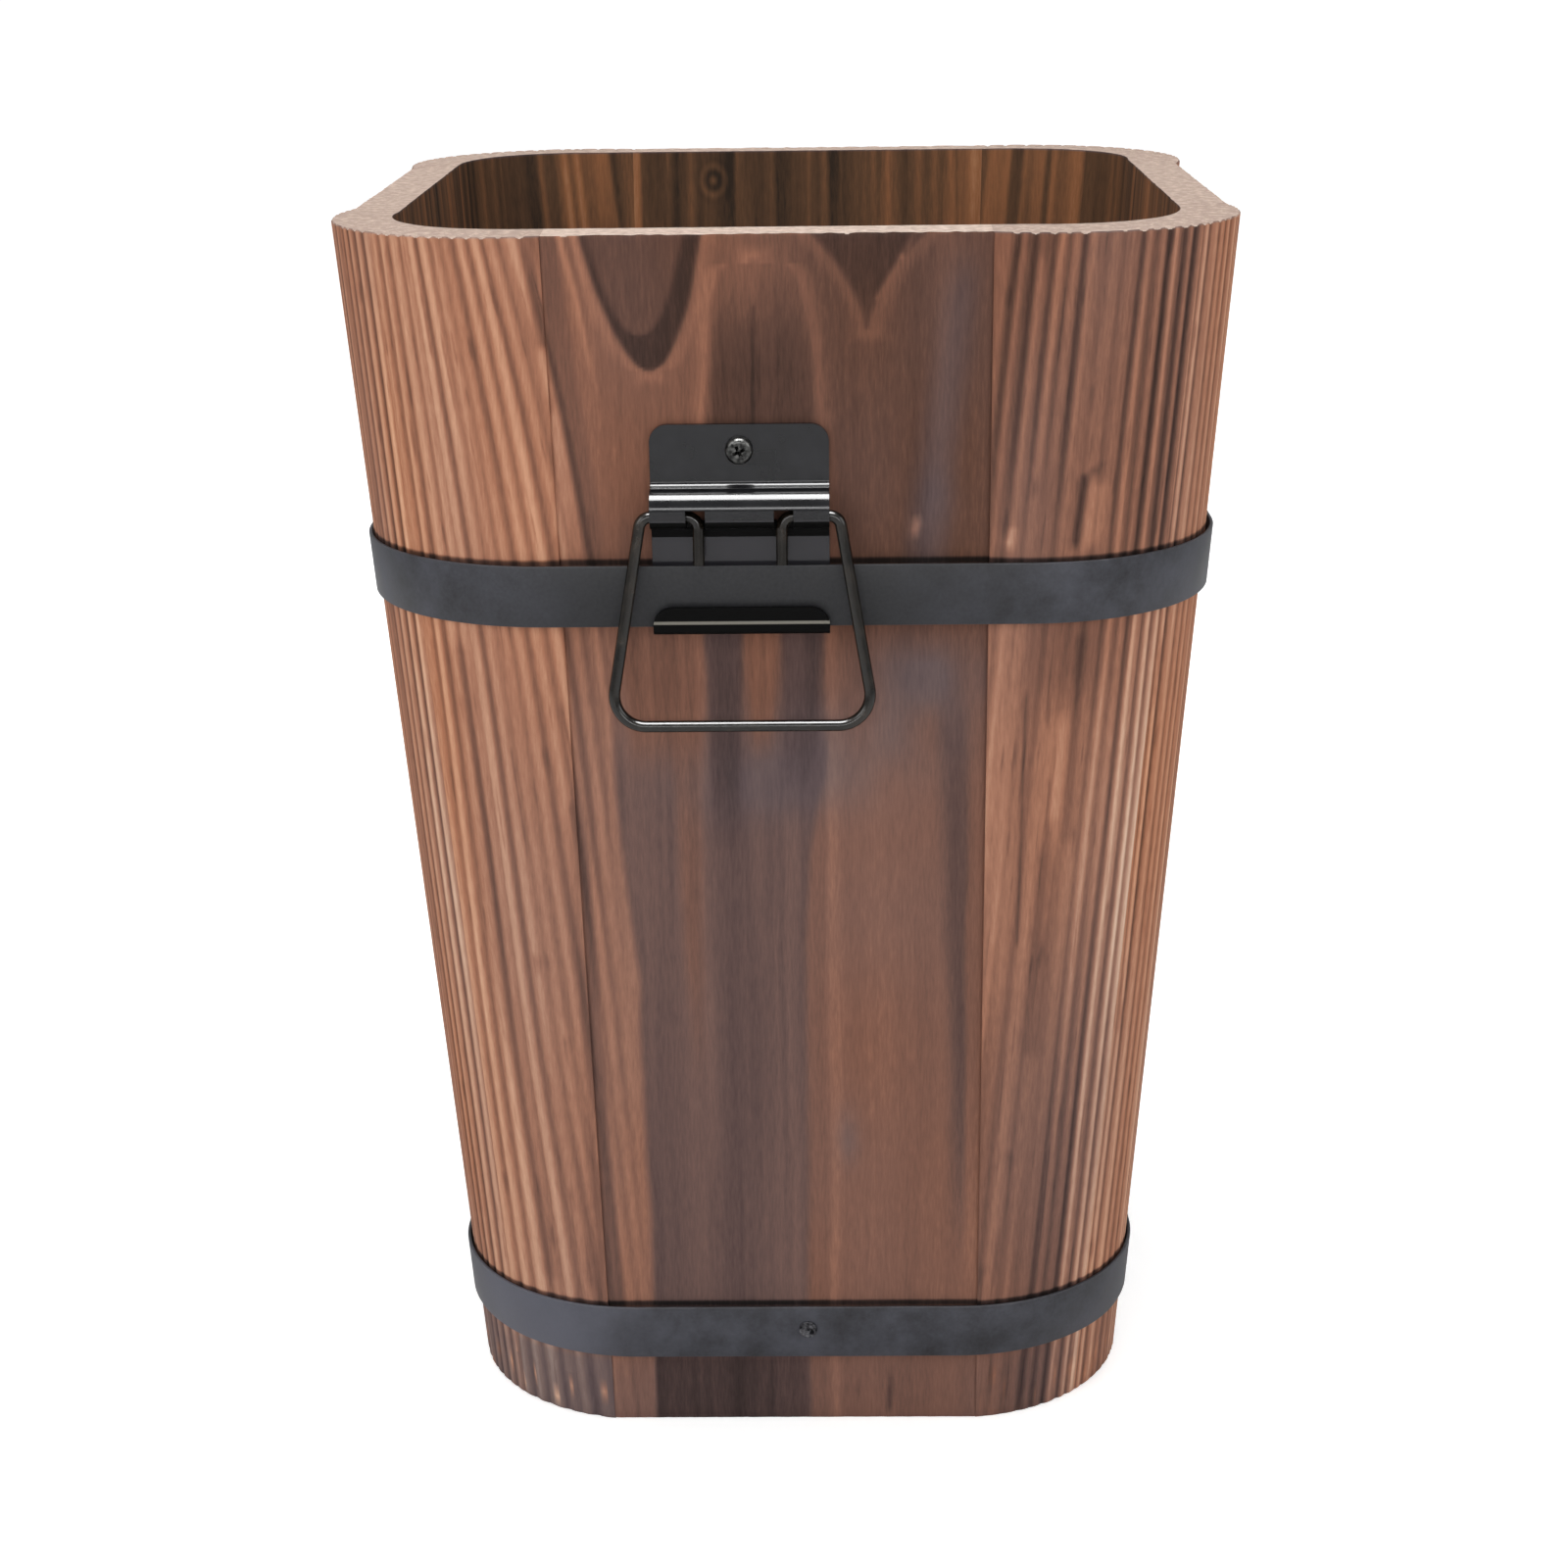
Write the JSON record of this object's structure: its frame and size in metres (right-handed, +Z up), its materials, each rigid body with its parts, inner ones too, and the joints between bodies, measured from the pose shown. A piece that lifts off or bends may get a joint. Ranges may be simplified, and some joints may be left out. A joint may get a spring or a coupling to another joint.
{
  "type": "wooden barrel planter",
  "caption": "Tapered rounded-square wooden bucket planter of brushed staves, held by black strap hoops, with swinging wire bail handles on stamped brackets.",
  "frame": {"origin": "middle of the foot, at ground level", "axes": "+Z up, -Y out of the front (the side with the pictured handle), +X to the right of the front as seen by someone facing it"},
  "size_m": [0.2362, 0.2446, 0.34],
  "materials": {
    "board_wood": "charred and wire-brushed, oiled matt",
    "corner_wood": "charred and wire-brushed, oiled matt",
    "floor_wood": "oiled matt",
    "strap_steel": "satin black paint",
    "nail_steel": "satin black paint",
    "bracket_steel": "satin black paint",
    "screw_steel": "satin black paint",
    "handle_wire": "gloss black paint"
  },
  "bodies": {
    "barrel": {"front_board": "board_wood", "right_board": "board_wood", "rear_board": "board_wood", "left_board": "board_wood", "front_corner_stave_left": "corner_wood", "front_corner_stave_right": "corner_wood", "right_corner_stave_left": "corner_wood", "right_corner_stave_right": "corner_wood", "rear_corner_stave_left": "corner_wood", "rear_corner_stave_right": "corner_wood", "left_corner_stave_left": "corner_wood", "left_corner_stave_right": "corner_wood", "floor_middle_plank": "floor_wood", "floor_left_plank": "floor_wood", "floor_right_plank": "floor_wood", "upper_hoop": "strap_steel", "lower_hoop": "strap_steel", "upper_hoop_nails": "nail_steel", "lower_hoop_nails": "nail_steel", "front_bracket": "bracket_steel", "rear_bracket": "bracket_steel", "bracket_screws": "screw_steel"},
    "front_handle": {"front_handle": "handle_wire"},
    "rear_handle": {"rear_handle": "handle_wire"}
  },
  "joints": [
    {"name": "front_handle_swing", "type": "hinge", "parent": "barrel", "child": "front_handle", "pos_m": [-0.012, -0.11497, 0.26977], "axis": [-1, 0, 0], "range_deg": [0, 90]},
    {"name": "rear_handle_swing", "type": "hinge", "parent": "barrel", "child": "rear_handle", "pos_m": [0.012, 0.11497, 0.26977], "axis": [1, 0, 0], "range_deg": [0, 90]}
  ]
}
